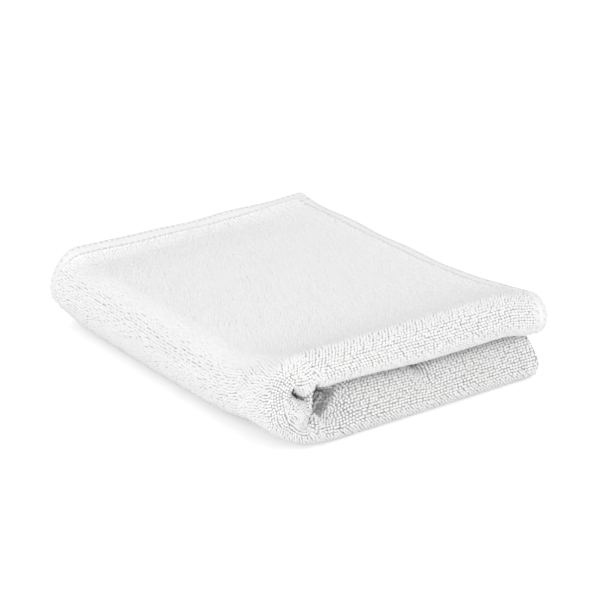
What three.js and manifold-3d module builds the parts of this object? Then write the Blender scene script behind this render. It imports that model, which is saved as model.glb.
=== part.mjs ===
// Absorbent terry cleaning cloth, folded in quarters, with four overlocked edge hems.
// One rectangular sheet is folded across its length, then across its width, so four layers lie flat.
// +X runs along the first fold's roll, from the round second fold to the open end.
// +Y runs from the first fold's roll to the open side. +Z is up.
// Millimetres. The origin is under the middle of the folded cloth.
import * as THREE from "three";
import Module from "manifold-3d";
import { mergeVertices } from "three/addons/utils/BufferGeometryUtils.js";

const wasm = await Module();
wasm.setup();

// Cut size of the sheet
const clothWidth = 300; // across the second fold
const clothLength = 350; // across the first fold
const clothThickness = 6.5; // from pile tip to pile tip

// First fold
const layerGap = 2.2; // air between its two layers, far from the roll
const rollSwell = 2.5; // the roll's mid radius is larger than half the layer spacing by this
const rollBlendRadius = 400; // reverse curve behind the roll, where the two layers close up
const firstFoldOffset = 4; // the outer layers are longer than the inner ones by twice this

// Second fold
const halfGap = 1.4; // air between the lower and the upper half
const upperOverhang = 6.5; // the upper half reaches past the lower one by this at the open end
const endSkew = 5; // away from the roll the outer layers end short, and the inner ones reach out, by this
const endSkewRun = 100; // over this length from the roll
const noseLift = 1.5; // the round edge rises off the table by this at the open side
const noseLiftReach = 45; // over this width from the round edge
const noseLiftStart = 20; // from this far behind the roll

// Hems: a channel of thread wraps the thinned edge of the sheet
const hemWidth = 7; // on each face
const hemWall = 0.9; // of thread, on each face and round the edge
const hemRound = 0.6; // on the channel's outer corners
const edgeThickness = 1.8; // of the sheet inside the hem, where the pile is sewn flat
const shoulderRun = 0.5; // of the slope from the full pile to the thinned edge
const seamGap = 0.3; // between the sheet and the hem

// The pile that carries the cloth is pressed flat on the table, this deep
const restDepth = 0.5;

// Facets
const rollSteps = 5; // a side of the first fold's roll
const blendSteps = 3; // a side of the reverse curve
const bendSteps = 10; // round the second fold
const runSteps = 3; // of a layer's straight run

// Layers of the first fold
const halfCloth = clothThickness / 2;
const layerOffset = (clothThickness + layerGap) / 2;
const rollRadius = layerOffset + rollSwell;
const dip = Math.acos((layerOffset + rollBlendRadius) / (rollRadius + rollBlendRadius));
const rollLength = rollRadius * (Math.PI / 2 + dip);
const blendEnd = rollLength + rollBlendRadius * dip;
const rollBack = rollRadius * (1 + Math.sin(dip));
const blendBack = rollBack + rollBlendRadius * Math.sin(dip);
const outerLength = clothLength / 2 + firstFoldOffset;
const innerLength = clothLength / 2 - firstFoldOffset;

// Reach of the two halves from the round edge, from the outer layer's true length round the bend
const rollHalf = rollRadius + halfCloth;
const bendRadius = rollHalf + halfGap / 2;
const quarterTurn = (Math.PI / 2) * (bendRadius + rollRadius);
const evenReach = clothWidth / 2 + bendRadius + rollHalf - quarterTurn;

// Hem section, measured from the sheet's cut edge
const fieldInset = hemWidth + seamGap + shoulderRun;
const edgeInset = hemWidth + seamGap;
const slotHalf = edgeThickness / 2 + seamGap;
const hemHalf = slotHalf + hemWall;
const hemLip = seamGap + hemWall;

function smoothStep(start, end, value) {
  return THREE.MathUtils.smoothstep(value, start, end);
}

// First fold: place and outward normal of the sheet's mid face at length t from the fold.
// Positive t is the outer layer, negative t the inner one. y is measured back from the roll.
function firstFold(t) {
  const length = Math.abs(t);
  const side = t < 0 ? -1 : 1;
  if (length <= rollLength) {
    const turn = length / rollRadius;
    return {
      y: rollRadius * (1 - Math.cos(turn)),
      w: side * rollRadius * Math.sin(turn),
      ny: -Math.cos(turn),
      nw: side * Math.sin(turn),
    };
  }
  const left = Math.max(dip - (length - rollLength) / rollBlendRadius, 0);
  return {
    y: blendBack - rollBlendRadius * Math.sin(left) + Math.max(length - blendEnd, 0),
    w: side * (layerOffset + rollBlendRadius * (1 - Math.cos(left))),
    ny: Math.sin(left),
    nw: side * Math.cos(left),
  };
}

// Half of the folded pair's thickness, at y behind the roll
function pairHalf(y) {
  if (y <= rollRadius) return rollHalf;
  if (y < rollBack) return halfCloth + Math.sqrt(rollRadius ** 2 - (y - rollRadius) ** 2);
  const left = Math.max(blendBack - y, 0);
  return halfCloth + layerOffset + rollBlendRadius - Math.sqrt(rollBlendRadius ** 2 - left ** 2);
}

// Distance from the round edge to the cut end of a half (side +1 upper, -1 lower) at length t
function endReach(side, t) {
  const skew = endSkew * smoothStep(rollRadius, endSkewRun, Math.abs(t));
  return evenReach + (side * upperOverhang) / 2 - Math.sign(t) * skew;
}

// Second fold: a station is a turn round the bend, a share of the straight run or an inset from the end
function foldPoint(station, t, n) {
  const first = firstFold(t);
  const y = first.y + n * first.ny;
  const w = first.w + n * first.nw;
  const half = pairHalf(y);
  const radius = half + halfGap / 2;
  const bendX = radius + half;
  const reach = endReach(station.side, t);
  let run = 0;
  if (station.share !== undefined) run = station.share * (reach - bendX - fieldInset);
  if (station.inset !== undefined) run = reach - bendX - station.inset;
  const x = bendX - (radius + w) * Math.cos(station.turn) + run;
  const rise = noseLift * Math.max(1 - x / noseLiftReach, 0) ** 2;
  const lift = rise * smoothStep(noseLiftStart, outerLength, y);
  const z = half + radius + (radius + w) * Math.sin(station.turn) + lift - restDepth;
  return new THREE.Vector3(x, y, z);
}

function straight(side, place) {
  return { side, turn: (side * Math.PI) / 2, ...place };
}

// Stations from the lower half's end, round the bend, to the upper half's end
function bendStations(lastInsets) {
  const upper = [];
  for (let i = 1; i < runSteps; i++) upper.push(straight(1, { share: i / runSteps }));
  for (const inset of lastInsets) upper.push(straight(1, { inset }));
  const lower = upper.map((s) => ({ ...s, side: -1, turn: -s.turn })).reverse();
  const bend = [];
  for (let i = 0; i <= bendSteps; i++) {
    const turn = Math.PI * (i / bendSteps - 0.5);
    bend.push({ side: turn < 0 ? -1 : 1, turn, share: 0 });
  }
  return [...lower, ...bend, ...upper];
}

// Lengths from the inner layer's cut edge, round the roll, to the outer layer's cut edge
function rollLengths(lastInsets) {
  function oneSide(full) {
    const list = [];
    for (let i = 1; i <= rollSteps; i++) list.push((rollLength * i) / rollSteps);
    for (let i = 1; i <= blendSteps; i++) {
      list.push(rollLength + ((blendEnd - rollLength) * i) / blendSteps);
    }
    for (let i = 1; i < runSteps; i++) {
      list.push(blendEnd + ((full - fieldInset - blendEnd) * i) / runSteps);
    }
    for (const inset of lastInsets) list.push(full - inset);
    return list;
  }
  const inner = oneSide(innerLength).map((t) => -t).reverse();
  return [...inner, 0, ...oneSide(outerLength)];
}

function geometryOf(points, faces) {
  const geometry = new THREE.BufferGeometry().setFromPoints(points);
  geometry.setIndex(faces);
  return geometry;
}

// Closed sheet: both faces on a grid, joined round the rim
function sheetGeometry(stations, lengths, halfAt) {
  const rows = stations.length;
  const columns = lengths.length;
  const points = [];
  for (const face of [1, -1]) {
    for (let i = 0; i < rows; i++) {
      for (let j = 0; j < columns; j++) {
        points.push(foldPoint(stations[i], lengths[j], face * halfAt(i, j)));
      }
    }
  }
  const outer = (i, j) => i * columns + j;
  const inner = (i, j) => rows * columns + i * columns + j;
  const faces = [];
  function quad(a, b, c, d) {
    faces.push(a, b, c, a, c, d);
  }
  for (let i = 0; i + 1 < rows; i++) {
    for (let j = 0; j + 1 < columns; j++) {
      quad(outer(i, j), outer(i + 1, j), outer(i + 1, j + 1), outer(i, j + 1));
      quad(inner(i, j), inner(i, j + 1), inner(i + 1, j + 1), inner(i + 1, j));
    }
  }
  for (let i = 0; i + 1 < rows; i++) {
    const last = columns - 1;
    quad(outer(i, 0), inner(i, 0), inner(i + 1, 0), outer(i + 1, 0));
    quad(outer(i, last), outer(i + 1, last), inner(i + 1, last), inner(i, last));
  }
  for (let j = 0; j + 1 < columns; j++) {
    const last = rows - 1;
    quad(outer(0, j), outer(0, j + 1), inner(0, j + 1), inner(0, j));
    quad(outer(last, j), inner(last, j), inner(last, j + 1), outer(last, j + 1));
  }
  return geometryOf(points, faces);
}

// The channel's section: e is measured outwards from the cut edge, n from the sheet's mid face
function hemSection() {
  const corner = hemRound * (1 - Math.SQRT1_2);
  const outer = [
    [-hemWidth, hemHalf - corner],
    [-hemWidth + corner, hemHalf],
    [hemLip - hemRound, hemHalf],
    [hemLip - corner, hemHalf - corner],
    [hemLip, hemHalf - hemRound],
  ];
  const slot = [
    [seamGap, slotHalf],
    [-hemWidth, slotHalf],
  ];
  const mirrored = (list) => list.map(([e, n]) => [e, -n]).reverse();
  const round = [...outer, ...mirrored(outer), ...mirrored(slot), ...slot].reverse();
  return round.map(([e, n]) => new THREE.Vector2(e, n));
}

// Channel swept along an edge: place(k, e, n) gives the point of the section at step k
function hemGeometry(steps, place) {
  const section = hemSection();
  const count = section.length;
  const points = [];
  for (let k = 0; k < steps; k++) {
    for (const { x: e, y: n } of section) points.push(place(k, e, n));
  }
  const faces = [];
  for (let k = 0; k + 1 < steps; k++) {
    for (let c = 0; c < count; c++) {
      const next = (c + 1) % count;
      const a = k * count + c;
      const b = k * count + next;
      faces.push(a, b, b + count, a, b + count, a + count);
    }
  }
  const lastRing = (steps - 1) * count;
  for (const [a, b, c] of THREE.ShapeUtils.triangulateShape(section, [])) {
    faces.push(a, c, b, lastRing + a, lastRing + b, lastRing + c);
  }
  return geometryOf(points, faces);
}

function solidOf(geometry) {
  const merged = mergeVertices(new THREE.BufferGeometry().copy(geometry));
  return new wasm.Manifold(
    new wasm.Mesh({
      numProp: 3,
      vertProperties: merged.attributes.position.array,
      triVerts: new Uint32Array(merged.index.array),
    }),
  );
}

function geometryFrom(solid) {
  const mesh = solid.getMesh();
  const geometry = new THREE.BufferGeometry();
  geometry.setAttribute("position", new THREE.BufferAttribute(mesh.vertProperties, 3));
  geometry.setIndex(new THREE.BufferAttribute(mesh.triVerts, 1));
  return geometry;
}

// What lies under the table's plane is cut away, so the cloth stands on flat pile
function cutFlat(geometry) {
  geometry.computeBoundingBox();
  const size = geometry.boundingBox.getSize(new THREE.Vector3()).multiplyScalar(2);
  const middle = geometry.boundingBox.getCenter(new THREE.Vector3());
  const below = new THREE.BoxGeometry(size.x, size.y, size.z);
  below.deleteAttribute("normal");
  below.deleteAttribute("uv");
  below.translate(middle.x, middle.y, -size.z / 2);
  return geometryFrom(solidOf(geometry).subtract(solidOf(below)));
}

// Terry panel: full pile in the field, sewn flat inside the hems
function terryPanel() {
  const insets = [fieldInset, edgeInset, 0];
  const stations = bendStations(insets);
  const lengths = rollLengths(insets);
  const thinRows = 2;
  const inField = (k, count) => k >= thinRows && k < count - thinRows;
  const halfAt = (i, j) =>
    inField(i, stations.length) && inField(j, lengths.length) ? halfCloth : edgeThickness / 2;
  return cutFlat(sheetGeometry(stations, lengths, halfAt));
}

// Hem along a cut edge of the open side (layer +1 outer, -1 inner), round the second fold
function sideHem(layer) {
  const stations = bendStations([fieldInset, edgeInset, -hemLip]);
  const full = layer > 0 ? outerLength : innerLength;
  return hemGeometry(stations.length, (k, e, n) =>
    foldPoint(stations[k], layer * (full + e), layer * n),
  );
}

// Hem along the cut end of a half (side +1 upper, -1 lower), round the first fold, between the side hems
function endHem(side) {
  const lengths = rollLengths([fieldInset, edgeInset]);
  return hemGeometry(lengths.length, (k, e, n) =>
    foldPoint(straight(side, { inset: -e }), lengths[k], -side * n),
  );
}

const terryWhite = new THREE.MeshStandardMaterial({ color: 0xf2f2f1, roughness: 0.95, metalness: 0 });
const threadWhite = new THREE.MeshStandardMaterial({ color: 0xf8f8f7, roughness: 0.8, metalness: 0 });

const folded = new THREE.Group();
function addPiece(name, geometry, material) {
  const mesh = new THREE.Mesh(geometry, material);
  mesh.name = name;
  folded.add(mesh);
}

addPiece("terry_panel", terryPanel(), terryWhite);
addPiece("outer_side_hem", sideHem(1), threadWhite);
addPiece("inner_side_hem", sideHem(-1), threadWhite);
addPiece("upper_end_hem", endHem(1), threadWhite);
addPiece("lower_end_hem", endHem(-1), threadWhite);

const extent = new THREE.Box3().setFromObject(folded);
const middle = extent.getCenter(new THREE.Vector3());
folded.position.set(-middle.x, -middle.y, -extent.min.z);

const cloth = new THREE.Group();
cloth.add(folded);

export default cloth;
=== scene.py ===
import math

import bpy
import numpy as np
from mathutils import Matrix, Vector


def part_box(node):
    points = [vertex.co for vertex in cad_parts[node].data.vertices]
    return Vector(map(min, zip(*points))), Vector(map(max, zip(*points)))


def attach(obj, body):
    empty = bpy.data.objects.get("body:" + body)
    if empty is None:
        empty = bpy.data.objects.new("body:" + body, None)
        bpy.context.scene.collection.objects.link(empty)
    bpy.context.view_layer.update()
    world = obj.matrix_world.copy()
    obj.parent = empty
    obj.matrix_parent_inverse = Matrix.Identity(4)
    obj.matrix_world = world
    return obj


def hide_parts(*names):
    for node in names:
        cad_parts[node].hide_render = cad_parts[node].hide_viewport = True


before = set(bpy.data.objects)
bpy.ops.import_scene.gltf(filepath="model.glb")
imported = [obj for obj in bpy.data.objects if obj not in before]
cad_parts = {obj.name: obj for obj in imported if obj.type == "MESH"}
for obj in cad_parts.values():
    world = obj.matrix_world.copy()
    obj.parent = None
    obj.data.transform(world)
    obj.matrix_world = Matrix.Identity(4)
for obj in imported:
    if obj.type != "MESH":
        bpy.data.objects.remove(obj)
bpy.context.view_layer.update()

# Lengths are in millimetres up to the meshes, which are in metres
MM = 0.001

# The second fold turns by this to each side of its middle
HALF_TURN = math.pi / 2

# Cut size of the sheet
CLOTH_WIDTH = 300.0
CLOTH_LENGTH = 350.0
CLOTH_THICKNESS = 6.5

# First fold
LAYER_GAP = 2.2
ROLL_SWELL = 2.5
ROLL_BLEND_RADIUS = 400.0
FIRST_FOLD_OFFSET = 4.0

# Second fold
HALF_GAP = 1.4
UPPER_OVERHANG = 6.5
END_SKEW = 5.0
END_SKEW_RUN = 100.0

# Corner where the two folds meet: the inner layers gape in a slit and curl out in a tongue
SLIT_WIDTH = 7.0
SLIT_HEIGHT = 8.0  # half its height
SLIT_FOOT = (-0.6, 0.0)  # it opens between these turns
SLIT_SHUT = (0.6, 1.1)  # and shuts between these turns from the middle
SLIT_DEPTH = (20.0, 40.0)  # it fades out between these distances behind the roll
CORE_HALF = 6.0  # the roll's hollow core, half its thickness, takes up the slit
LIP_CENTRE = 8.0  # the tongue ends in a lip, an arc round the slit this far before the fold
LIP_HEIGHT = 11.3
LIP_RADIUS = 17.2
LIP_WIDTH = 1.4
LIP_START = (-12.0, -4.0)  # and it stands out from these runs on
TONGUE_FILL = 0.5  # the tongue is flatter than the roll by this share
TONGUE_DEPTH = 9.0  # up to this distance behind it
TONGUE_RUN = (-8.0, -4.0)  # from these runs on

# Mouth between the rolls, where a bell is the place of its peak and its spread
MOUTH_RAISE = 3.8  # both rolls' facing sides are pushed up by this
MOUTH_START = (-16.0, -8.0)  # from these runs past the second fold
MOUTH_END = (15.0, 70.0)  # to these ones
NOTCH_RAISE = 5.5  # and by this more over the tongue
NOTCH_BELL = (2.6, 2.2)
CURL_DROP = 2.8  # the upper roll curls down by this beside the slit
CURL_BELL = (-1.4, 2.2)
GAPE_RAISE = 5.6  # and the slit stands higher by this
GAPE_BELL = (-10.5, 4.0)
PIT_DEPTH = 12.0  # the lower roll's top lies this much lower behind the lip
PIT_RUN = (8.0, 24.0)  # up to these runs
PIT_REACH = (12.0, 40.0)  # and these distances behind the roll
FILL_RISE = 0.7  # and past the pit it closes on the upper roll
DENT_DEPTH = 3.5  # but for a dent
DENT_BELL = (60.0, 4.0)

# Slump of the stack: how the soft layers lie after folding
ROLL_REACH = (4.0, 60.0)  # the rolls' slump fades out between these distances behind them
LEAN_BACK = 3.5  # the lower roll's top lies back by this
LEAN_SHARES = (0.3, 0.75)  # between these shares of its height
HOLLOW_DEPTH = 26.0  # and by this more in a hollow behind the lip
HOLLOW_SHARES = (0.68, 1.0)
HOLLOW_RUN = (27.0, 31.5)
HOLLOW_SLANT = 105.0  # the hollow is this much narrower at the foot
FOOT_OUT = 2.4  # its foot stands out by this
FOOT_POWER = 1.5  # and less up the roll, by this power
FOOT_RUN = (-16.0, 8.0)
FOLD_LIFT = 2.6  # the round edge's foot rises off the table by this at the corner
FOLD_LIFT_RUN = 130.0  # and less up to this distance behind it
TUCK_LIFT = 3.0  # by this more beside the corner
TUCK_BELL = (20.0, 12.0)
END_TUCK = 3.2  # and by this at the open side
END_TUCK_START = 152.0
FOOT_SHARES = (0.1, 0.85)  # between these shares of the height the foot's lift fades out
NOSE_LIFT = 1.0  # at the open side the whole edge rises by this
NOSE_LIFT_START = 135.0
NOSE_REACH = (5.0, 38.0)  # both fade out between these distances from the round edge
EDGE_RAISE = 2.2  # the top layer's side hem springs up by this
EDGE_RAISE_RUN = 14.0
EDGE_RAISE_TURNS = (0.3, 1.5)  # from these turns of the round edge on
EDGE_RAISE_LENGTHS = (8.0, 20.0)  # and these lengths t
EDGE_HUMP = 1.2  # by this more beside the round edge
HUMP_BELL = (32.0, 14.0)
EDGE_TROUGH = 2.0  # out of a trough this deep
TROUGH_FADE = (10.0, 40.0)  # that fades out between these distances from the cut edge
END_RAISE = 1.2  # its end hem springs up by this
EDGE_WAVE = 0.35  # and both ripple by this
EDGE_WAVE_LENGTH = 44.0
END_DROP = 3.6  # the upper roll's open end sinks by this
END_DROP_RUN = 22.0
END_DROP_REACH = (3.0, 30.0)
END_PULL = 1.7  # and is pulled in by this
PULL_RUN = (60.0, 140.0)  # between these distances from the round edge
PULL_REACH = (10.0, 60.0)  # fading out between these distances behind the roll

# Hems
HEM_WIDTH = 7.0
HEM_WALL = 0.9
HEM_ROUND = 1.26  # its lip's reach past the walls
HEM_CROWN = 0.25  # how far its walls bulge
END_ROUND = 0.96  # how far its thickness rounds off at its own ends, squared
COVER_FADE = 2.0  # the painted shade under the pile fades out over this
SEAM_GAP = 0.3
HEM_STEP = 0.5  # from station to station
HEM_BEND_STATIONS = 121
HEM_END_STATIONS = 7
WALL_POINTS = 15  # of its section
LIP_POINTS = 9
MAP_STEP = 0.5  # of the thread's map, from point to point of the section

# Ground sheet
GROUND_HALF = 1.9
EDGE_THICKNESS = 1.8  # inside the hems
REST_DEPTH = 0.5  # depth of the pile that is pressed flat on the table
FIELD_INSET = 8.8  # its even field ends at this distance from a cut edge
THIN_RUN = (0.05, 0.3)  # it thins between these distances from a hem
THIN_STATIONS = (0.3, 0.1, 0.0)
ROLL_STEP = 0.9  # steps of its mesh round the roll
BLEND_STEP = 2.0  # behind it
FIELD_STEP = 2.4  # and over the field
NEAR_SHARE = 0.2  # share of the run past the second fold that has finer steps
NEAR_STATIONS = 37
FAR_STATIONS = 41
SHEET_BEND_STATIONS = 61

# Pile
LOOP_PITCH = 1.6
BEND_PITCH = 1.25  # round the second fold, where loops turn to lie along it
ASIDE_LENGTHS = (12.0, 40.0)  # between these distances from the first fold
ROW_PITCH = 1.2
LOOP_SPAN = 0.35
LOOP_YARN = 0.48  # radius
LOOP_FULLNESS = {"upper": (1.26, 1.9), "lower": (1.06, 1.4), "bend": (1.0, 1.28)}  # breadth
FULL_LENGTHS = (-4.0, 40.0)  # from the first value to the second between these lengths t
TOP_TURNS = (0.5, HALF_TURN)  # the round edge's loops take on the top's breadth
FOOT_TURNS = (-0.9, 0.5)  # and are thinner at the foot
FOOT_THIN = 0.65  # by this
FAR_LENGTHS = (80.0, 165.0)  # and broader towards the open side
FAR_BROAD = 0.1  # by this
LOOP_SHIFT = 0.15  # loops stray along their row by up to this share of their pitch
BEND_SHIFT = 0.17  # and by this round the second fold
ROW_SHIFT = 0.08  # they stray off it by up to this share of the rows' pitch
BRICK_SHIFT = 0.25  # on the rolls every second row lies on by twice this share of the pitch
CREVICE_LENGTH = -46.0  # the rolls' pile runs from this length t, deep between them
FLAT_LENGTH = 24.0  # to this one, where the top and the underside begin
PILE_EDGE = 5.3  # the pile reaches over the hem to this distance from the cut edge
ROLL_PILE_EDGE = -0.2  # but over the lower roll's end it covers the hem
PILE_RAGGED = 1.2
BORDER_WIDTH = 14.0  # of the pile inside the folds, along the cut edges
TRACK_STEP = 0.4  # of a row's track past the second fold
TRACK_BEND_STATIONS = 160
ROW_SAMPLES = 1500  # of the way across the rows
ROW_TURNS = np.radians([-75.0, -50.0, -25.0, 0.0, 25.0, 50.0, 75.0])  # where rows are spaced
ROW_RUNS = np.array([1.0, 5.0, 9.0, 14.0, 22.0, 40.0, 70.0])
SHORT_STEP = 0.2  # for directions on the cloth
SHORT_TURN = 0.01
FURTHER_OFF = 1.2
GOLDEN = 0.618  # spreads the rows' ends evenly
PLACE_SEED = 7  # of the loops' places
LOOP_SEED = 3  # of the first pile piece's arches
LOOP_SEED_STEP = 10

# Overlock thread
STITCH_PITCH = 3.0
STITCH_SPAN = 1.9
STITCH_YARN = 0.24
STITCH_RISE = 0.3
STITCH_LINES = (1.0, 4.6)  # distances from the cut edge
STITCH_SEED = 200
DIMPLE_DEPTH = 0.8
DIMPLE_WIDTH = 0.5
# painted shade of the needle holes, as a share of the way to mid grey
HOLE_PAINTED_SHADE = 0.45

# Floor, light and camera; the camera looks at a point of the fold's own axes
FLOOR_HALF = 1500.0
FLOOR_PAINT = 0.9
FLOOR_GLOW = 0.42
SURROUND_LIGHT = 0.725
LAMPS = {  # place and size in metres, power in watts
    "key_left": ((-1.2, -1.15, 0.55), 1.2, 13.2),
    "front_right": ((0.7, -1.3, 1.4), 1.0, 3.6),
    "back_right": ((0.6, 1.6, 0.5), 1.2, 2.0),
}
CAMERA_AZIMUTH = math.radians(-35.73)
CAMERA_ELEVATION = math.radians(23.06)
CAMERA_DISTANCE = 1085.7
CAMERA_LENS = 146.7
CAMERA_SENSOR = 36.0
CAMERA_TARGET = (75.0, 87.0, 17.0)
CAMERA_SLIDE = (2.29, 5.84)

# Layers of the first fold, worked out as in the solids
HALF_CLOTH = CLOTH_THICKNESS / 2
LAYER_OFFSET = (CLOTH_THICKNESS + LAYER_GAP) / 2
ROLL_RADIUS = LAYER_OFFSET + ROLL_SWELL
DIP = math.acos((LAYER_OFFSET + ROLL_BLEND_RADIUS) / (ROLL_RADIUS + ROLL_BLEND_RADIUS))
ROLL_LENGTH = ROLL_RADIUS * (math.pi / 2 + DIP)
BLEND_END = ROLL_LENGTH + ROLL_BLEND_RADIUS * DIP
ROLL_BACK = ROLL_RADIUS * (1 + math.sin(DIP))
BLEND_BACK = ROLL_BACK + ROLL_BLEND_RADIUS * math.sin(DIP)
OUTER_LENGTH = CLOTH_LENGTH / 2 + FIRST_FOLD_OFFSET
INNER_LENGTH = CLOTH_LENGTH / 2 - FIRST_FOLD_OFFSET
ROLL_HALF = ROLL_RADIUS + HALF_CLOTH
BEND_RADIUS = ROLL_HALF + HALF_GAP / 2
QUARTER_TURN = math.pi / 2 * (BEND_RADIUS + ROLL_RADIUS)
EVEN_REACH = CLOTH_WIDTH / 2 + BEND_RADIUS + ROLL_HALF - QUARTER_TURN

# Hem section and the sheet's last stations, measured from the cut edge
EDGE_INSET = HEM_WIDTH + SEAM_GAP
SLOT_HALF = EDGE_THICKNESS / 2 + SEAM_GAP
HEM_HALF = SLOT_HALF + HEM_WALL
HEM_LIP = SEAM_GAP + HEM_WALL
EDGE_INSETS = np.concatenate([HEM_WIDTH + np.array(THIN_STATIONS), [HEM_WIDTH / 2, 0.0]])

# The fold's own axes start at the round edge and at the roll's mid face
panel_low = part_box("terry_panel")[0]
ORIGIN_X = panel_low.x / MM
ORIGIN_Y = panel_low.y / MM + HALF_CLOTH


def smooth_step(start, end, value):
    share = np.clip((value - start) / (end - start), 0.0, 1.0)
    return share * share * (3 - 2 * share)


def bell(peak, spread, value):
    return np.exp(-(((value - peak) / spread) ** 2))


# Folded form of the cloth


def first_fold(t):
    """Place (y, w) and outward normal of the mid face at length t from the first fold."""
    length = np.abs(t)
    side = np.where(t < 0, -1.0, 1.0)
    turn = np.minimum(length, ROLL_LENGTH) / ROLL_RADIUS
    left = np.clip(DIP - (length - ROLL_LENGTH) / ROLL_BLEND_RADIUS, 0.0, None)
    behind = BLEND_BACK - ROLL_BLEND_RADIUS * np.sin(left) + np.maximum(length - BLEND_END, 0.0)
    apart = LAYER_OFFSET + ROLL_BLEND_RADIUS * (1 - np.cos(left))
    rolled = length <= ROLL_LENGTH
    y = np.where(rolled, ROLL_RADIUS * (1 - np.cos(turn)), behind)
    w = side * np.where(rolled, ROLL_RADIUS * np.sin(turn), apart)
    normal_y = np.where(rolled, -np.cos(turn), np.sin(left))
    normal_w = side * np.where(rolled, np.sin(turn), np.cos(left))
    return y, w, normal_y, normal_w


def pair_half(y):
    """Half of the folded pair's thickness, at y behind the roll."""
    crown = np.sqrt(np.clip(ROLL_RADIUS**2 - (y - ROLL_RADIUS) ** 2, 0.0, None))
    left = np.clip(BLEND_BACK - y, 0.0, ROLL_BLEND_RADIUS)
    close = LAYER_OFFSET + ROLL_BLEND_RADIUS - np.sqrt(ROLL_BLEND_RADIUS**2 - left**2)
    half = np.where(y < ROLL_BACK, crown, close)
    return HALF_CLOTH + np.where(y <= ROLL_RADIUS, ROLL_RADIUS, half)


def layer(t, n):
    """Place of a point n off the mid face, with the second fold's radius and axis there."""
    y, w, normal_y, normal_w = first_fold(t)
    y = y + n * normal_y
    w = w + n * normal_w
    half = pair_half(y)
    radius = half + HALF_GAP / 2
    return y, w, radius, radius + half


def end_reach(side, t):
    """Distance from the round edge to the cut end of a half, at length t."""
    skew = END_SKEW * smooth_step(ROLL_RADIUS, END_SKEW_RUN, np.abs(t))
    return EVEN_REACH + side * UPPER_OVERHANG / 2 - np.sign(t) * skew


def corner_slit(turn, y, w):
    """Extra reach and height of the inner layers where they gape at the corner."""
    gape = 1 - smooth_step(*SLIT_DEPTH, y)
    inner = gape * (1 - smooth_step(-CORE_HALF, CORE_HALF, w))
    opening = smooth_step(*SLIT_FOOT, turn)
    shutting = 1 - smooth_step(*SLIT_SHUT, np.abs(turn))
    return SLIT_WIDTH * inner * opening, SLIT_HEIGHT * inner * opening * shutting


def behind_lip(past, height):
    """Share of the way over the tongue's lip, at a run past the fold and a height over its axis."""
    distance = np.hypot(past + LIP_CENTRE, height - LIP_HEIGHT)
    over = smooth_step(LIP_RADIUS, LIP_RADIUS + LIP_WIDTH, distance)
    return over * smooth_step(*LIP_START, past)


def roll_lean(past, low_share):
    """How far back the lower roll lies, at a run past the fold and a share of its height."""
    hollow = 1 - smooth_step(*HOLLOW_RUN, past + HOLLOW_SLANT * (1 - low_share))
    hollow = HOLLOW_DEPTH * hollow * smooth_step(*HOLLOW_SHARES, low_share)
    return hollow + LEAN_BACK * smooth_step(*LEAN_SHARES, low_share)


def tongue_out(past, y):
    """How far the tongue comes out of the corner, at a distance y behind the roll."""
    return TONGUE_FILL * np.clip(y, 0.0, TONGUE_DEPTH) * smooth_step(*TONGUE_RUN, past)


def foot_out(past, low_share):
    """How far the lower roll's foot stands out."""
    return FOOT_OUT * (1 - low_share) ** FOOT_POWER * smooth_step(*FOOT_RUN, past)


def mouth_rise(past):
    """How far the rolls' facing sides are pushed up."""
    raised = smooth_step(*MOUTH_START, past) * (1 - smooth_step(*MOUTH_END, past))
    notch = NOTCH_RAISE * bell(*NOTCH_BELL, past)
    curl = CURL_DROP * bell(*CURL_BELL, past)
    gape = GAPE_RAISE * bell(*GAPE_BELL, past)
    return MOUTH_RAISE * raised + notch - curl + gape


def pit_drop(past, y, lip):
    """How far the lower roll's top sinks behind the lip, less how far it closes up past that."""
    run_share = smooth_step(*PIT_RUN, past)
    dent = DENT_DEPTH * bell(*DENT_BELL, past)
    sunk = (PIT_DEPTH * (1 - run_share) + dent) * (1 - smooth_step(*PIT_REACH, y))
    return lip * (sunk - FILL_RISE * run_share)


def nose_lift(x, y, height_share):
    """How far the round edge rises off the table."""
    foot = FOLD_LIFT * (1 - smooth_step(0.0, FOLD_LIFT_RUN, y))
    foot = foot + TUCK_LIFT * bell(*TUCK_BELL, y)
    foot = foot + END_TUCK * smooth_step(END_TUCK_START, OUTER_LENGTH, y)
    foot = foot * (1 - smooth_step(*FOOT_SHARES, height_share))
    open_side = NOSE_LIFT * smooth_step(NOSE_LIFT_START, OUTER_LENGTH, y)
    return (foot + open_side) * (1 - smooth_step(*NOSE_REACH, x))


def edge_raise(turn, t, x, y, end_inset):
    """How far the hems of the top layer spring up."""
    side_inset = np.where(t > 0, OUTER_LENGTH, INNER_LENGTH) - np.abs(t)
    ripple = EDGE_WAVE * np.sin(2 * math.pi * (x + y) / EDGE_WAVE_LENGTH)
    hump = EDGE_HUMP * bell(*HUMP_BELL, x)
    off_side = smooth_step(0.0, EDGE_RAISE_RUN, side_inset)
    off_end = smooth_step(0.0, EDGE_RAISE_RUN, end_inset)
    trough = smooth_step(0.0, HEM_WIDTH, side_inset) * (1 - smooth_step(*TROUGH_FADE, side_inset))
    trough = trough * smooth_step(*TROUGH_FADE, end_inset)
    spring = (EDGE_RAISE + hump + ripple) * (1 - off_side) - EDGE_TROUGH * trough
    spring = spring + (END_RAISE + ripple) * (1 - off_end) * off_side
    return spring * smooth_step(*EDGE_RAISE_TURNS, turn) * smooth_step(*EDGE_RAISE_LENGTHS, t)


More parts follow.
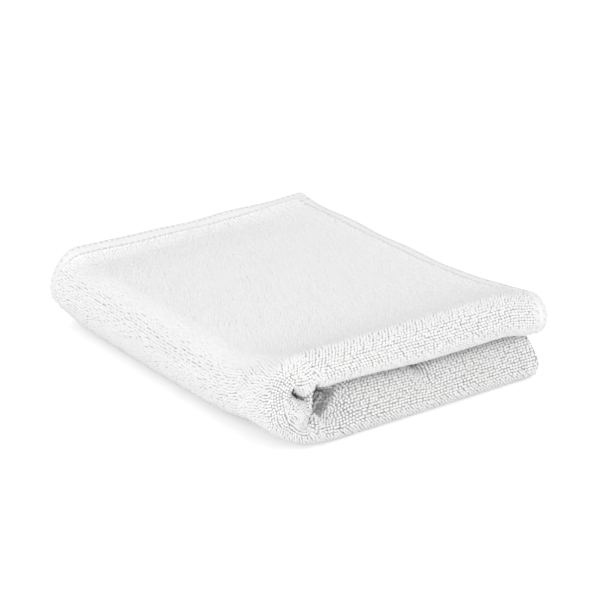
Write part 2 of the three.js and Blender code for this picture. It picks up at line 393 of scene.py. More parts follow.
def fold(turn, run, t, n):
    """Points of the folded cloth: turn round the second fold, run past it, t from the first."""
    y, w, radius, axis = layer(t, n)
    slit_reach, slit_height = corner_slit(turn, y, w)
    past = run - (radius + w + slit_reach) * np.cos(turn)
    height = (radius + w + slit_height) * np.sin(turn)
    x = axis + past
    z = axis + height - REST_DEPTH

    lower = turn < 0
    low_share = np.clip(z / axis, 0.0, 1.0)
    high_share = np.clip(height / (2 * radius - HALF_GAP), 0.0, 1.0)
    end_inset = end_reach(np.where(lower, -1.0, 1.0), t) - x
    near_roll = 1 - smooth_step(*ROLL_REACH, y)
    lip = behind_lip(past, height)
    bulge = (1 - lip) * tongue_out(past, y) + foot_out(past, low_share)
    lean = near_roll * (lip * roll_lean(past, low_share) - bulge)
    lean = np.where(lower, lean, 0.0)
    rise = mouth_rise(past)
    low_rise = low_share**2 * (rise - pit_drop(past, y, lip))
    rise = np.where(lower, low_rise, (1 - high_share) ** 2 * rise) * near_roll
    sunk = np.where(lower, 0.0, 1 - smooth_step(*END_DROP_REACH, y))
    drop = END_DROP * sunk * (1 - smooth_step(0.0, END_DROP_RUN, end_inset))
    lift = nose_lift(x, y, z / axis) + edge_raise(turn, t, x, y, end_inset)
    pulled = np.where(lower, 0.0, 1 - smooth_step(*PULL_REACH, y))
    x = x - END_PULL * pulled * smooth_step(*PULL_RUN, x)
    points = np.broadcast_arrays(x + ORIGIN_X, y + lean + ORIGIN_Y, z + rise + lift - drop)
    return np.stack(points, axis=-1)


def run_to_inset(side, t, n, inset):
    """Run past the second fold, up to an inset from the cut end."""
    return end_reach(side, t) - inset - layer(t, n)[3]


# Meshes


def mesh_from(name, points, faces, uv=None):
    """Mesh of points in millimetres and faces, with an optional map value for each point."""
    mesh = bpy.data.meshes.new(name)
    mesh.from_pydata((points * MM).tolist(), [], faces)
    if uv is not None:
        corners = np.zeros(len(mesh.loops), np.int32)
        mesh.loops.foreach_get("vertex_index", corners)
        layer_uv = mesh.uv_layers.new(name="flat_cloth")
        layer_uv.data.foreach_set("uv", uv[corners].astype(np.float32).ravel())
    mesh.shade_smooth()
    mesh.update()
    return mesh


def faced_outwards(points, faces):
    """The quads of a closed skin, turned so that they face out."""
    a, b, c, d = (points[faces[:, k]] for k in range(4))
    volume = np.einsum("ij,ij->", np.cross(a, b), c) + np.einsum("ij,ij->", np.cross(a, c), d)
    return faces if volume > 0 else faces[:, ::-1]


def grid_quads(rows, columns, wrap=False):
    """Quads of a grid of points, closed across its columns where wrap is set."""
    row, column = np.meshgrid(
        np.arange(rows - 1), np.arange(columns if wrap else columns - 1), indexing="ij"
    )
    after = (column + 1) % columns
    quads = [row * columns + column, (row + 1) * columns + column]
    quads += [(row + 1) * columns + after, row * columns + after]
    return np.stack(quads, axis=-1).reshape(-1, 4)


def add_piece(name, mesh, material):
    piece = bpy.data.objects.new(name, mesh)
    bpy.context.scene.collection.objects.link(piece)
    piece.data.materials.clear()
    piece.data.materials.append(material)
    return piece


def steps_between(start, end, step):
    return np.linspace(start, end, max(2, round(abs(end - start) / step) + 1))


# Nodes


def plug(tree, node, inputs):
    """Sets a node's inputs, each to a value or by a link from a socket."""
    for name, value in inputs.items():
        if isinstance(value, bpy.types.NodeSocket):
            tree.links.new(value, node.inputs[name])
        else:
            node.inputs[name].default_value = value


def node_output(tree, kind, inputs=None, output=0, **settings):
    """An output of a new node that has these settings and inputs."""
    node = tree.nodes.new(kind)
    for name, value in settings.items():
        setattr(node, name, value)
    plug(tree, node, inputs or {})
    return node.outputs[output]


def attribute_value(tree, name):
    return node_output(tree, "ShaderNodeAttribute", output="Fac", attribute_name=name)


def grey(level):
    return (level, level, level, 1.0)


def grey_ramp(tree, value, stops):
    """Neutral colour for a value, from pairs of position and level."""
    ramp = tree.nodes.new("ShaderNodeValToRGB")
    points = ramp.color_ramp.elements
    while len(points) < len(stops):
        points.new(0.5)
    for point, (position, level) in zip(points, stops):
        point.position = position
        point.color = grey(level)
    plug(tree, ramp, {"Fac": value})
    return ramp.outputs["Color"]


# Materials


def new_material(name):
    material = bpy.data.materials.new(name)
    material.use_nodes = True
    tree = material.node_tree
    return material, tree, tree.nodes["Principled BSDF"]


def terry_yarn():
    """Soft white yarn, with painted shade at the foot of each loop, and a little different from
    loop to loop.
    """
    material, tree, shader = new_material("terry_yarn")
    height = attribute_value(tree, "loop_height")
    shade = attribute_value(tree, "loop_shade")
    # Painted shade: the colour darkens from each loop's crown to its foot; the loops also differ a
    # little in tone at random
    colours = {
        "Factor": 1.0,
        "A": grey_ramp(tree, height, [(0.0, 0.82), (0.5, 0.93), (0.9, 0.95)]),
        "B": grey_ramp(tree, shade, [(0.0, 0.975), (1.0, 1.0)]),
    }
    kinds = {"data_type": "RGBA", "blend_type": "MULTIPLY"}
    both = node_output(tree, "ShaderNodeMix", colours, "Result", **kinds)
    plug(tree, shader, {"Base Color": both, "Roughness": 0.95, "Sheen Weight": 0.15})
    return material


def terry_ground_painted_shade():
    """Knitted ground between the loops, painted dark grey as the shade deep in the pile, with a
    fine grain.
    """
    material, tree, shader = new_material("terry_ground_painted_shade")
    place = node_output(tree, "ShaderNodeTexCoord", output="Object")
    grain = {"Vector": place, "Scale": 900.0, "Detail": 2.0}
    noise = node_output(tree, "ShaderNodeTexNoise", grain, "Fac")
    # Painted shade: the ground's dark grey stands for the shade between and under the loops, over a
    # fine noise grain
    colour = grey_ramp(tree, noise, [(0.35, 0.34), (0.65, 0.62)])
    plug(tree, shader, {"Base Color": colour, "Roughness": 0.95})
    return material


def hem_thread():
    """Tightly wrapped overlock thread, with painted shade at the needle holes and under the pile.
    """
    material, tree, shader = new_material("hem_thread")
    place = node_output(tree, "ShaderNodeUVMap", uv_map="flat_cloth")
    winding = {"Vector": place, "Scale": 350.0, "Distortion": 1.5}
    wave = node_output(tree, "ShaderNodeTexWave", winding, "Fac")
    relief = {"Height": wave, "Strength": 0.25, "Distance": 0.0002}
    # Painted shade: the thread turns towards mid grey where the attribute marks needle holes or
    # pile lying over it
    colours = {
        "Factor": attribute_value(tree, "thread_painted_shade"),
        "A": grey_ramp(tree, wave, [(0.0, 0.86), (1.0, 0.91)]),
        "B": grey(0.5),
    }
    looks = {
        "Base Color": node_output(tree, "ShaderNodeMix", colours, "Result", data_type="RGBA"),
        "Normal": node_output(tree, "ShaderNodeBump", relief),
        "Roughness": 0.8,
        "Sheen Weight": 0.6,
    }
    plug(tree, shader, looks)
    return material


# Yarn arches: terry loops and stitches


def arch_sockets(tree):
    """Adds the inputs and the output of the tree of yarn arches, and returns its given values."""
    kinds = {
        "Geometry": ("Geometry",),
        "Float": ("Span", "Rise", "Yarn Radius", "Size Jitter", "Lean Jitter", "Twist Jitter"),
        "Int": ("Steps", "Sides", "Seed"),
        "Material": ("Material",),
    }
    for kind, names in kinds.items():
        for name in names:
            tree.interface.new_socket(name, in_out="INPUT", socket_type="NodeSocket" + kind)
    tree.interface.new_socket("Geometry", in_out="OUTPUT", socket_type="NodeSocketGeometry")
    return tree.nodes.new("NodeGroupInput").outputs


def yarn_arch_tree():
    """Node tree that sets an arch of yarn on each point, by its own up and along directions."""
    tree = bpy.data.node_groups.new("yarn_arches", "GeometryNodeTree")
    given = arch_sockets(tree)

    def add(kind, inputs=None, output=0, **settings):
        return node_output(tree, kind, inputs, output, **settings)

    def worked_out(a, operation, b):
        return add("ShaderNodeMath", {0: a, 1: b}, operation=operation)

    def vector(x, y, z):
        return add("ShaderNodeCombineXYZ", {"X": x, "Y": y, "Z": z})

    def own(name, kind):
        inputs = {"Name": name}
        return add("GeometryNodeInputNamedAttribute", inputs, "Attribute", data_type=kind)

    def stored(geometry, domain, name, value):
        inputs = {"Geometry": geometry, "Name": name, "Value": value}
        return add("GeometryNodeStoreNamedAttribute", inputs, data_type="FLOAT", domain=domain)

    def drawn(kind, least, most, seed_step):
        seed = worked_out(given["Seed"], "ADD", seed_step)
        inputs = {"Min": least, "Max": most, "Seed": seed}
        return add("FunctionNodeRandomValue", inputs, "Value", data_type=kind)

    # Half an ellipse of yarn, standing on its two feet
    arc = {"Radius": 1.0, "Start Angle": 0.0, "Sweep Angle": math.pi, "Resolution": given["Steps"]}
    lying = add("GeometryNodeCurveArc", arc)
    stand = {"Geometry": lying, "Rotation": (math.pi / 2, 0.0, 0.0)}
    standing = add("GeometryNodeTransform", stand)
    size = vector(worked_out(given["Span"], "MULTIPLY", 0.5), 1.0, given["Rise"])
    line = add("GeometryNodeTransform", {"Geometry": standing, "Scale": size})
    circle = {"Resolution": given["Sides"], "Radius": given["Yarn Radius"]}
    section = add("GeometryNodeCurvePrimitiveCircle", circle)
    sweep = {"Curve": line, "Profile Curve": section, "Fill Caps": True}
    yarn = add("GeometryNodeCurveToMesh", sweep)
    smooth = add("GeometryNodeSetShadeSmooth", {"Geometry": yarn})
    # Share of the height up each arch, which the yarn's colour turns into painted shade towards the
    # foot
    place = {"Vector": add("GeometryNodeInputPosition")}
    height = worked_out(add("ShaderNodeSeparateXYZ", place, "Z"), "DIVIDE", given["Rise"])
    arch = stored(smooth, "POINT", "loop_height", height)

    # Up and along directions of each point, with a little lean and twist
    up = {"Vector": own("up", "FLOAT_VECTOR")}
    upright = add("FunctionNodeAlignRotationToVector", up, axis="Z")
    along = {"Rotation": upright, "Vector": own("along", "FLOAT_VECTOR")}
    turned = add("FunctionNodeAlignRotationToVector", along, axis="X", pivot_axis="Z")
    most = vector(given["Lean Jitter"], given["Lean Jitter"], given["Twist Jitter"])
    least = add("ShaderNodeVectorMath", {0: most, "Scale": -1.0}, operation="SCALE")
    lean = {"Euler": drawn("FLOAT_VECTOR", least, most, 0)}
    tilt = {"Rotation": turned, "Rotate By": add("FunctionNodeEulerToRotation", lean)}
    leaned = add("FunctionNodeRotateRotation", tilt, rotation_space="LOCAL")

    # Arches differ in size, and are broader by each point's fullness
    smallest = worked_out(1.0, "SUBTRACT", given["Size Jitter"])
    largest = worked_out(1.0, "ADD", given["Size Jitter"])
    growth = drawn("FLOAT_VECTOR", smallest, largest, 1)
    fullness = own("fullness", "FLOAT")
    sizes = {0: growth, 1: vector(fullness, fullness, 1.0)}
    scale = add("ShaderNodeVectorMath", sizes, operation="MULTIPLY")

    # One arch on each point, with its own shade
    set_out = {"Points": given["Geometry"], "Instance": arch, "Rotation": leaned, "Scale": scale}
    arches = add("GeometryNodeInstanceOnPoints", set_out)
    shaded = stored(arches, "INSTANCE", "loop_shade", drawn("FLOAT", 0.0, 1.0, 2))
    real = add("GeometryNodeRealizeInstances", {"Geometry": shaded})
    dress = {"Geometry": real, "Material": given["Material"]}
    dressed = add("GeometryNodeSetMaterial", dress)
    plug(tree, tree.nodes.new("NodeGroupOutput"), {"Geometry": dressed})
    return tree


def set_inputs(modifier, values):
    """Sets a modifier's inputs by the identifiers of the tree's named sockets."""
    for socket in modifier.node_group.interface.items_tree:
        if socket.item_type == "SOCKET" and socket.in_out == "INPUT" and socket.name in values:
            modifier[socket.identifier] = values[socket.name]


def yarn_piece(name, places, tree, values):
    """Piece of yarn arches on places: points, up and along directions, and fullness."""
    points, up, along, fullness = places
    mesh = bpy.data.meshes.new(name + "_points")
    mesh.vertices.add(len(points))
    mesh.vertices.foreach_set("co", (points * MM).astype(np.float32).ravel())
    for label, vectors in (("up", up), ("along", along)):
        attribute = mesh.attributes.new(label, "FLOAT_VECTOR", "POINT")
        attribute.data.foreach_set("vector", vectors.astype(np.float32).ravel())
    attribute = mesh.attributes.new("fullness", "FLOAT", "POINT")
    attribute.data.foreach_set("value", fullness.astype(np.float32))
    piece = bpy.data.objects.new(name, mesh)
    bpy.context.scene.collection.objects.link(piece)
    modifier = piece.modifiers.new("yarn", "NODES")
    modifier.node_group = tree
    set_inputs(modifier, values)
    evaluated = piece.evaluated_get(bpy.context.evaluated_depsgraph_get())
    made = bpy.data.meshes.new_from_object(evaluated)
    piece.modifiers.remove(modifier)
    piece.data = made
    made.name = name
    bpy.data.meshes.remove(mesh)
    press_on_table(made)
    return piece


def press_on_table(mesh):
    """Flattens what would reach under the table's plane."""
    places = np.zeros(len(mesh.vertices) * 3, np.float32)
    mesh.vertices.foreach_get("co", places)
    places[2::3] = np.maximum(places[2::3], 0.0)
    mesh.vertices.foreach_set("co", places)
    mesh.update()


# Terry sheet


def thinned_half(inset):
    """Half thickness of the ground at an inset from the nearest cut edge."""
    share = smooth_step(*THIN_RUN, inset - HEM_WIDTH)
    return EDGE_THICKNESS / 2 + (GROUND_HALF - EDGE_THICKNESS / 2) * share


def sheet_lengths():
    """Lengths t from the inner cut edge round the roll to the outer one."""

    def one_side(full):
        roll = steps_between(0.0, ROLL_LENGTH, ROLL_STEP)
        blend = steps_between(ROLL_LENGTH, BLEND_END, BLEND_STEP)
        field = steps_between(BLEND_END, full - FIELD_INSET, FIELD_STEP)
        return np.concatenate([roll[1:], blend[1:], field[1:], full - EDGE_INSETS])

    return np.concatenate([-one_side(INNER_LENGTH)[::-1], [0.0], one_side(OUTER_LENGTH)])


def sheet_stations():
    """Turn, share of the straight run and inset of each station, end to end round the bend."""
    near = np.linspace(0.0, NEAR_SHARE, NEAR_STATIONS)[1:]
    far = np.linspace(NEAR_SHARE, 1.0, FAR_STATIONS)[1:]
    field = np.full(len(near) + len(far), FIELD_INSET)
    bend = np.linspace(-HALF_TURN, HALF_TURN, SHEET_BEND_STATIONS)
    half_share = np.concatenate([near, far, np.ones(len(EDGE_INSETS))])
    half_inset = np.concatenate([field, EDGE_INSETS])
    half_turn = np.full(len(half_share), HALF_TURN)
    turn = np.concatenate([-half_turn, bend, half_turn])
    share = np.concatenate([half_share[::-1], np.zeros(len(bend)), half_share])
    inset = np.concatenate([half_inset[::-1], np.full(len(bend), FIELD_INSET), half_inset])
    return turn, share, inset


def terry_sheet(material):
    """Ground of the cloth: one closed sheet, folded twice, thin inside the hems."""
    turn, share, inset = (values[:, None] for values in sheet_stations())
    lengths = sheet_lengths()[None, :]
    side_inset = np.where(lengths < 0, INNER_LENGTH, OUTER_LENGTH) - np.abs(lengths)
    side = np.where(turn < 0, -1.0, 1.0)
    half = thinned_half(np.minimum(side_inset, inset))
    rows, columns = half.shape
    faces_points = []
    for face in (1.0, -1.0):
        n = face * half
        run = share * run_to_inset(side, lengths, n, inset)
        faces_points.append(fold(turn, run, lengths, n).reshape(-1, 3))
    points = np.concatenate(faces_points)
    points[:, 2] = np.maximum(points[:, 2], 0.0)
    count = rows * columns
    quads = grid_quads(rows, columns)
    index = np.arange(count).reshape(rows, columns)
    rim = np.concatenate([index[:, 0], index[-1, 1:], index[-2::-1, -1], index[0, -2:0:-1]])
    after = np.roll(rim, -1)
    skirt = np.stack([rim, after, after + count, rim + count], axis=-1)
    faces = np.concatenate([quads[:, ::-1], quads + count, skirt[:, ::-1]])
    faces = faced_outwards(points, faces)
    return add_piece("terry_sheet", mesh_from("terry_sheet", points, faces.tolist()), material)


# Pile of terry loops


def unit(vectors):
    return vectors / np.linalg.norm(vectors, axis=-1, keepdims=True)


def travelled_along(points):
    """Distance of each point along the line through them."""
    steps = np.linalg.norm(np.diff(points, axis=0), axis=-1)
    return np.concatenate([[0.0], np.cumsum(steps)])


def frames_on(turn, run, t, n):
    """Points at n off the mid face, with the directions away from it and along the row."""
    points = fold(turn, run, t, n)
    in_bend = np.abs(turn) < HALF_TURN
    onward = fold(turn + SHORT_TURN * in_bend, run + SHORT_STEP * ~in_bend, t, n) - points
    across = fold(turn, run, t + SHORT_STEP, n) - points
    off_face = fold(turn, run, t, n * FURTHER_OFF) - points
    normal = np.cross(onward, across)
    facing = np.einsum("ij,ij->i", normal, off_face)[:, None]
    return points, unit(normal * np.sign(facing)), unit(onward)


def track_place(turn, run):
    """Place along a row: the arc round the second fold, then the run past it."""
    return turn * BEND_RADIUS + np.sign(turn) * run


def row_table(start, end, face):
    """Places along the rows, and the lengths t of all rows there, evenly spaced between two."""
    past_bend = np.full(len(ROW_RUNS), HALF_TURN)
    turn = np.concatenate([-past_bend, ROW_TURNS, past_bend])
    run = np.concatenate([ROW_RUNS[::-1], np.zeros(len(ROW_TURNS)), ROW_RUNS])
    fine = np.linspace(start, end, ROW_SAMPLES)
    grid = fold(turn[:, None], run[:, None], fine[None, :], face * GROUND_HALF)
    travelled = [travelled_along(line) for line in grid]
    count = max(1, round(np.mean([line[-1] for line in travelled]) / ROW_PITCH))
    shares = (np.arange(count) + 0.5) / count
    lengths = [np.interp(shares * line[-1], line, fine) for line in travelled]
    return track_place(turn, run), np.stack(lengths, axis=1)


def row_track(stretch, t, face, first_inset, last_inset):
    """Turn and run along a row's stretch: the bend, or the upper or lower half past it."""
    if stretch == "bend":
        turn = np.linspace(-HALF_TURN, HALF_TURN, TRACK_BEND_STATIONS)
        return turn, np.zeros_like(turn)
    side = 1 if stretch == "upper" else -1
    end = float(run_to_inset(side, t, face * GROUND_HALF, last_inset))
    start = 0.0
    if first_inset is not None:
        start = max(start, float(run_to_inset(side, t, face * GROUND_HALF, first_inset)))
    run = steps_between(start, end, TRACK_STEP)
    return np.full_like(run, side * HALF_TURN), run


def loops_on(stretch, start, end, face, first_inset=None, last_inset=PILE_EDGE):
    """Loops of a stretch, for the rows between two lengths t on one face."""
    chance = np.random.default_rng(PLACE_SEED)
    in_bend = stretch == "bend"
    turns, runs, lengths = [], [], []
    places, rows = row_table(start, end, face)
    for index, row in enumerate(rows):
        ragged = last_inset + PILE_RAGGED * ((index * GOLDEN) % 1.0)
        turn, run = row_track(stretch, row.mean(), face, first_inset, ragged)
        t = np.interp(track_place(turn, run), places, row)
        travelled = travelled_along(fold(turn, run, t, face * GROUND_HALF))
        count = max(1, round(travelled[-1] / (BEND_PITCH if in_bend else LOOP_PITCH)))
        along, across = chance.uniform(-1.0, 1.0, (2, count))
        aside = smooth_step(*ASIDE_LENGTHS, row.mean()) if in_bend else 0.0
        along = along * (LOOP_SHIFT + (BEND_SHIFT - LOOP_SHIFT) * aside)
        across = across * (ROW_SHIFT + (LOOP_SHIFT - ROW_SHIFT) * aside)
        first = 0.5 + (1 - aside) * (BRICK_SHIFT if index % 2 else -BRICK_SHIFT)
        if not in_bend and not CREVICE_LENGTH < row.mean() < FLAT_LENGTH:
            first = (index * GOLDEN) % 1.0
        at = (np.arange(count) + first + along) / count * travelled[-1]
        for parts, values in ((turns, turn), (runs, run), (lengths, t)):
            parts.append(np.interp(at, travelled, values))
        lengths[-1] += ROW_PITCH * across
    turn, run, t = (np.concatenate(parts) for parts in (turns, runs, lengths))
    end_inset = end_reach(np.where(turn < 0, -1.0, 1.0), t) - layer(t, face * GROUND_HALF)[3] - run
    side_inset = np.where(t < 0, INNER_LENGTH, OUTER_LENGTH) - np.abs(t)
    on_hem = np.minimum(end_inset, side_inset) < HEM_WIDTH - SEAM_GAP
    n = face * np.where(on_hem, HEM_HALF, GROUND_HALF)
    points, up, along = frames_on(turn, run, t, n)
    if in_bend:
        aside = HALF_TURN * smooth_step(*ASIDE_LENGTHS, t)[:, None]
        along = np.cos(aside) * along + np.sin(aside) * np.cross(up, along)
    return points, up, along, loop_fullness(stretch, turn, t)


def loop_fullness(stretch, turn, t):
    """Breadth of the loops, which grows over the round edge to that of the top."""
    share = smooth_step(*FULL_LENGTHS, t)
    fullness = np.interp(share, (0.0, 1.0), LOOP_FULLNESS[stretch])
    if stretch == "bend":
        top = np.interp(share, (0.0, 1.0), LOOP_FULLNESS["upper"])
        fullness = fullness + smooth_step(*TOP_TURNS, turn) * (top - fullness)
        fullness = fullness - FOOT_THIN * share * (1 - smooth_step(*FOOT_TURNS, turn))
        fullness = fullness + FAR_BROAD * smooth_step(*FAR_LENGTHS, t)
    return fullness


def joined(groups):
    """Places of several groups in one."""
    return tuple(np.concatenate(parts) for parts in zip(*groups))


def pile_regions():
    """Loops of each stretch of the pile, by the name of its piece."""
    outer_edge = OUTER_LENGTH - PILE_EDGE
    inner_edge = -(INNER_LENGTH - PILE_EDGE)
    middle = (FLAT_LENGTH + outer_edge) / 2
    rolls = CREVICE_LENGTH, FLAT_LENGTH, 1
    front = FLAT_LENGTH, middle, 1
    back = middle, outer_edge, 1
    inside = BORDER_WIDTH + PILE_EDGE
    inner_side = inner_edge, inner_edge + BORDER_WIDTH
    outer_side = outer_edge - BORDER_WIDTH, outer_edge
    ends = [(inner_edge, CREVICE_LENGTH, 1), (inner_edge, 0.0, -1), (0.0, outer_edge, -1)]
    sides = [(*inner_side, 1), (*inner_side, -1), (*outer_side, -1)]
    halves = ("upper", "lower")
    end_loops = [loops_on(half, *end, first_inset=inside) for half in halves for end in ends]
    side_loops = [loops_on(half, *side) for half in halves for side in sides]
    side_loops += [loops_on("bend", *side) for side in sides[1:]]
    return {
        "terry_loops_upper_roll": loops_on("upper", *rolls),
        "terry_loops_lower_roll": loops_on("lower", *rolls, last_inset=ROLL_PILE_EDGE),
        "terry_loops_top_front": loops_on("upper", *front),
        "terry_loops_top_back": loops_on("upper", *back),
        "terry_loops_underside_front": loops_on("lower", *front),
        "terry_loops_underside_back": loops_on("lower", *back),
        "terry_loops_round_edge": loops_on("bend", CREVICE_LENGTH, outer_edge, 1),
        "terry_loops_end_border": joined(end_loops),
        "terry_loops_side_border": joined(side_loops),
    }


def terry_loops(tree, material):
    """Pile pieces, each a stretch of yarn loops."""
    values = {
        "Span": LOOP_SPAN * MM,
        "Rise": (HALF_CLOTH - GROUND_HALF - LOOP_YARN) * MM,
        "Yarn Radius": LOOP_YARN * MM,
        "Size Jitter": 0.1,
        "Lean Jitter": 0.12,
        "Twist Jitter": 0.35,
        "Steps": 4,
        "Sides": 4,
        "Material": material,
    }
    pieces = []
    for index, (name, places) in enumerate(pile_regions().items()):
        values["Seed"] = LOOP_SEED + LOOP_SEED_STEP * index
        pieces.append(yarn_piece(name, places, tree, values))
    return pieces


# Hems


def hem_section():
    """Closed section of the thread channel: e outwards from the cut edge, n from the mid face."""
    wall_end = HEM_LIP - HEM_ROUND
    wall_e = np.linspace(-HEM_WIDTH, wall_end, WALL_POINTS)
    wall_n = HEM_HALF + HEM_CROWN * np.sin(np.linspace(0.0, math.pi, WALL_POINTS))
    angle = np.linspace(math.pi / 2, -math.pi / 2, LIP_POINTS)[1:-1]
    lip_e = wall_end + HEM_ROUND * np.cos(angle)
    lip_n = HEM_HALF * np.sin(angle)
    slot_e = np.array([-HEM_WIDTH, -HEM_WIDTH / 2, SEAM_GAP])
    slot_n = np.full(len(slot_e), SLOT_HALF)
    e = np.concatenate([wall_e, lip_e, wall_e[::-1], slot_e, slot_e[::-1]])
    n = np.concatenate([wall_n, lip_n, -wall_n[::-1], -slot_n, slot_n])
    in_slot = np.arange(len(e)) >= len(e) - 2 * len(slot_e)
    return e, n, in_slot


def closed_end(past_end):
    """How open the slot is and how thick the hem, at a distance past the sheet's cut end."""
    past = np.clip(past_end / HEM_LIP, 0.0, 1.0)
    return np.where(past_end > 0, 0.0, 1.0), np.sqrt(1 - END_ROUND * past**2)


def dimples(along, e):
    """How deep the stitches draw the hem in, at a distance along it and e from the cut edge."""
    off_stitch = (along / STITCH_PITCH) % 1.0 - 0.5
    across = sum(bell(line, DIMPLE_WIDTH, -e) for line in STITCH_LINES)
    return DIMPLE_DEPTH * across * bell(0.0, DIMPLE_WIDTH, off_stitch * STITCH_PITCH)


def channel(name, points, along, shade, material):
    """Piece swept from rings of points, closed at both ends, with the thread's painted shade at
    each.
    """
    rings, count, _ = points.shape
    flat = points.reshape(-1, 3).copy()
    flat[:, 2] = np.maximum(flat[:, 2], 0.0)
    sides = grid_quads(rings, count, wrap=True)
    caps = [np.arange(count), np.arange(rings * count)[: -count - 1 : -1]]
    outwards = faced_outwards(flat, sides)
    if outwards is not sides:
        caps = [cap[::-1] for cap in caps]
    faces = outwards.tolist() + [cap.tolist() for cap in caps]
    around = np.broadcast_to(np.arange(count) * MAP_STEP, (rings, count))
    lengthwise = np.broadcast_to(along[:, None], (rings, count))
    uv = np.stack([lengthwise, around], axis=-1).reshape(-1, 2) * MM
    mesh = mesh_from(name, flat, faces, uv)
    attribute = mesh.attributes.new("thread_painted_shade", "FLOAT", "POINT")
    attribute.data.foreach_set("value", shade.astype(np.float32).ravel())
    return add_piece(name, mesh, material)


def side_track(layer_side):
    """Turn and run of a side hem's stations, end to end round the second fold."""
    t = layer_side * (OUTER_LENGTH if layer_side > 0 else INNER_LENGTH)
    bend = np.linspace(-HALF_TURN, HALF_TURN, HEM_BEND_STATIONS)
    past_end = HEM_LIP * np.sin(np.linspace(0.0, HALF_TURN, HEM_END_STATIONS))[1:]
    halves = {}
    for side in (-1, 1):
        cut_end = float(run_to_inset(side, t, 0.0, 0.0))
        run = np.concatenate([steps_between(0.0, cut_end, HEM_STEP)[1:], cut_end + past_end])
        halves[side] = run, np.maximum(run - cut_end, 0.0)
    (lower, lower_past), (upper, upper_past) = halves[-1], halves[1]
    turn = [np.full(len(lower), -HALF_TURN), bend, np.full(len(upper), HALF_TURN)]
    run = [lower[::-1], np.zeros(len(bend)), upper]
    past = [lower_past[::-1], np.zeros(len(bend)), upper_past]
    return np.concatenate(turn), np.concatenate(run), np.concatenate(past), t


def side_hem(name, layer_side, material):
    """Hem on a cut edge of the open side, round the second fold."""
    turn, run, past_end, t = side_track(layer_side)
    along = travelled_along(fold(turn, run, np.full_like(run, t), 0.0))
    e, n, in_slot = hem_section()
    slot_open, thickness = closed_end(past_end[:, None])
    n = n * np.where(in_slot, slot_open, thickness)
    drawn_in = dimples(along[:, None], e) * ~in_slot
    depth = layer_side * (n - np.sign(n) * drawn_in)
    lengths = np.broadcast_to(t + layer_side * e, depth.shape)
    points = fold(turn[:, None], run[:, None], lengths, depth)
    # The needle holes get painted shade, deeper where the stitches draw the hem in
    return channel(name, points, along, HOLE_PAINTED_SHADE * drawn_in / DIMPLE_DEPTH, material)


def end_hem(name, side, material):
    """Hem on the cut end of a half, round the first fold, between the side hems."""
    e, n, in_slot = hem_section()
    along = steps_between(0.0, CLOTH_LENGTH - 2 * EDGE_INSET, HEM_STEP)
    lengths = along[:, None] + EDGE_INSET - INNER_LENGTH
    drawn_in = dimples(along[:, None], e) * ~in_slot
    depth = -side * (n - np.sign(n) * drawn_in)
    lengths = np.broadcast_to(lengths, depth.shape)
    run = run_to_inset(side, lengths, depth, -e)
    points = fold(np.full_like(run, side * HALF_TURN), run, lengths, depth)
    # The needle holes get painted shade
    shade = HOLE_PAINTED_SHADE * drawn_in / DIMPLE_DEPTH
    # On the lower half's end, painted shade on the hem's outer wall where the pile lies over it
    if side < 0:
        pile_painted_shade = smooth_step(CREVICE_LENGTH, CREVICE_LENGTH + COVER_FADE, lengths)
        pile_painted_shade = pile_painted_shade * (1 - smooth_step(FLAT_LENGTH - COVER_FADE, FLAT_LENGTH, lengths))
        shade = np.maximum(shade, pile_painted_shade * smooth_step(0.0, HEM_HALF, depth) * ~in_slot)
    return channel(name, points, along, shade, material)


def side_stitches(layer_side):
    """Places of the stitches on both faces of a side hem."""
    turn, run, _, t = side_track(layer_side)
    along = travelled_along(fold(turn, run, np.full_like(run, t), 0.0))
    at = np.arange(1, int(along[-1] / STITCH_PITCH)) * STITCH_PITCH
    turns, runs = np.interp(at, along, turn), np.interp(at, along, run)
    groups = []
    for line in STITCH_LINES:
        lengths = np.full_like(runs, t - layer_side * line)
        for face in (1, -1):
            groups.append(frames_on(turns, runs, lengths, face * HEM_HALF))
    return joined(groups)


def end_stitches(side):
    """Places of the stitches on both faces of an end hem."""
    along = np.arange(1, int((CLOTH_LENGTH - 2 * EDGE_INSET) / STITCH_PITCH)) * STITCH_PITCH
    t = along + EDGE_INSET - INNER_LENGTH
    turn = np.full_like(t, side * HALF_TURN)
    groups = []
    for line in STITCH_LINES:
        for face in (1, -1):
            run = run_to_inset(side, t, face * HEM_HALF, line)
            points, up, onward = frames_on(turn, run, t, face * HEM_HALF)
            groups.append((points, up, np.cross(up, onward)))
    return joined(groups)


def stitches(tree, material):
    """Thread of the overlock seams, one piece for each hem."""
    values = {
        "Span": STITCH_SPAN * MM,
        "Rise": STITCH_RISE * MM,
        "Yarn Radius": STITCH_YARN * MM,
        "Size Jitter": 0.08,
        "Lean Jitter": 0.08,
        "Twist Jitter": 0.0,
        "Steps": 7,
        "Sides": 5,
        "Material": material,
    }
    seams = {
        "outer_side_stitches": side_stitches(1),
        "inner_side_stitches": side_stitches(-1),
        "upper_end_stitches": end_stitches(1),
        "lower_end_stitches": end_stitches(-1),
    }
    pieces = []
    for index, (name, places) in enumerate(seams.items()):
        values["Seed"] = STITCH_SEED + index
        even = np.ones(len(places[0]))
        pieces.append(yarn_piece(name, (*places, even), tree, values))
    return pieces


# Floor, light and camera


def cleared_tree(owner):
    """Empty node tree of a material or world."""
    owner.use_nodes = True
    owner.node_tree.nodes.clear()
    return owner.node_tree


def seen_directly(tree):
    """Value of 1 for rays from the camera or from gloss and glass."""
    path = tree.nodes.new("ShaderNodeLightPath").outputs
    seen = path["Is Camera Ray"]
    for other in ("Is Glossy Ray", "Is Transmission Ray"):
        seen = node_output(tree, "ShaderNodeMath", {0: seen, 1: path[other]}, operation="MAXIMUM")
    return seen


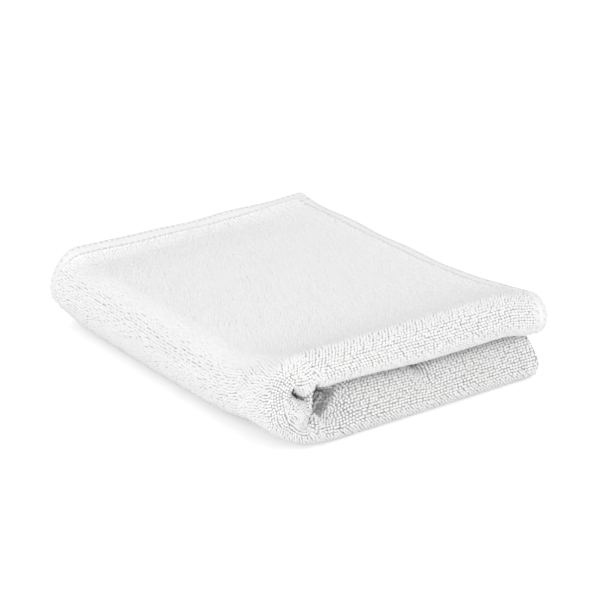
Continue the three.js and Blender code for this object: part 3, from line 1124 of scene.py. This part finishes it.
def white_floor():
    """Pale floor that is white to the camera and keeps the cloth's shadow."""
    half = FLOOR_HALF
    points = np.array([[-half, -half, 0], [half, -half, 0], [half, half, 0], [-half, half, 0]])
    material = bpy.data.materials.new("white_floor")
    tree = cleared_tree(material)
    paint = node_output(tree, "ShaderNodeBsdfDiffuse", {"Color": grey(FLOOR_PAINT)})
    levels = {0: seen_directly(tree), 1: FLOOR_GLOW}
    level = node_output(tree, "ShaderNodeMath", levels, operation="MULTIPLY")
    glow = node_output(tree, "ShaderNodeEmission", {"Color": grey(1.0), "Strength": level})
    both = node_output(tree, "ShaderNodeAddShader", {0: paint, 1: glow})
    plug(tree, tree.nodes.new("ShaderNodeOutputMaterial"), {"Surface": both})
    floor = add_piece("floor", mesh_from("floor", points, [[0, 1, 2, 3]]), material)


def white_surround():
    """World that lights the cloth evenly and is white to the camera."""
    world = bpy.data.worlds.new("white_surround")
    tree = cleared_tree(world)
    light = {"Color": grey(1.0), "Strength": SURROUND_LIGHT}
    soft = node_output(tree, "ShaderNodeBackground", light)
    seen = node_output(tree, "ShaderNodeBackground", {"Color": grey(1.0), "Strength": 1.0})
    choices = {0: seen_directly(tree), 1: soft, 2: seen}
    choice = node_output(tree, "ShaderNodeMixShader", choices)
    plug(tree, tree.nodes.new("ShaderNodeOutputWorld"), {"Surface": choice})
    bpy.context.scene.world = world


def soft_lamp(name, place, size, power):
    """Square area lamp that faces the cloth."""
    lamp = bpy.data.lights.new(name, "AREA")
    lamp.shape = "SQUARE"
    lamp.size = size
    lamp.energy = power
    stand = bpy.data.objects.new(name, lamp)
    stand.location = place
    stand.rotation_euler = (-Vector(place)).to_track_quat("-Z", "Y").to_euler()
    bpy.context.scene.collection.objects.link(stand)


def photo_camera():
    """Camera of the photograph."""
    a, e = CAMERA_AZIMUTH, CAMERA_ELEVATION
    back = Vector((math.sin(a) * math.cos(e), -math.cos(a) * math.cos(e), math.sin(e)))
    right = Vector((math.cos(a), math.sin(a), 0.0))
    up = back.cross(right)
    target = Vector(CAMERA_TARGET) + Vector((ORIGIN_X, ORIGIN_Y, -REST_DEPTH))
    target += right * CAMERA_SLIDE[0] + up * CAMERA_SLIDE[1]
    camera = bpy.data.objects.new("photo_camera", bpy.data.cameras.new("photo_camera"))
    camera.data.lens = CAMERA_LENS
    camera.data.sensor_width = CAMERA_SENSOR
    turn = Matrix((right, up, back)).transposed().to_4x4()
    camera.matrix_world = Matrix.Translation((target + back * CAMERA_DISTANCE) * MM) @ turn
    bpy.context.scene.collection.objects.link(camera)
    bpy.context.scene.camera = camera


# Assembly

bpy.context.scene.view_settings.view_transform = "Standard"
yarn = terry_yarn()
thread = hem_thread()
arches = yarn_arch_tree()

sheet = terry_sheet(terry_ground_painted_shade())
loops = terry_loops(arches, yarn)
hems = {
    "outer_side_hem": side_hem("outer_side_overlock", 1, thread),
    "inner_side_hem": side_hem("inner_side_overlock", -1, thread),
    "upper_end_hem": end_hem("upper_end_overlock", 1, thread),
    "lower_end_hem": end_hem("lower_end_overlock", -1, thread),
}
seams = stitches(arches, thread)

for piece in [sheet, *loops]:
    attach(piece, "root")
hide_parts("terry_panel")
for piece in [*hems.values(), *seams]:
    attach(piece, "root")
for node, piece in hems.items():
    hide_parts(node)

white_floor()
white_surround()
for name, (place, size, power) in LAMPS.items():
    soft_lamp(name, place, size, power)
photo_camera()
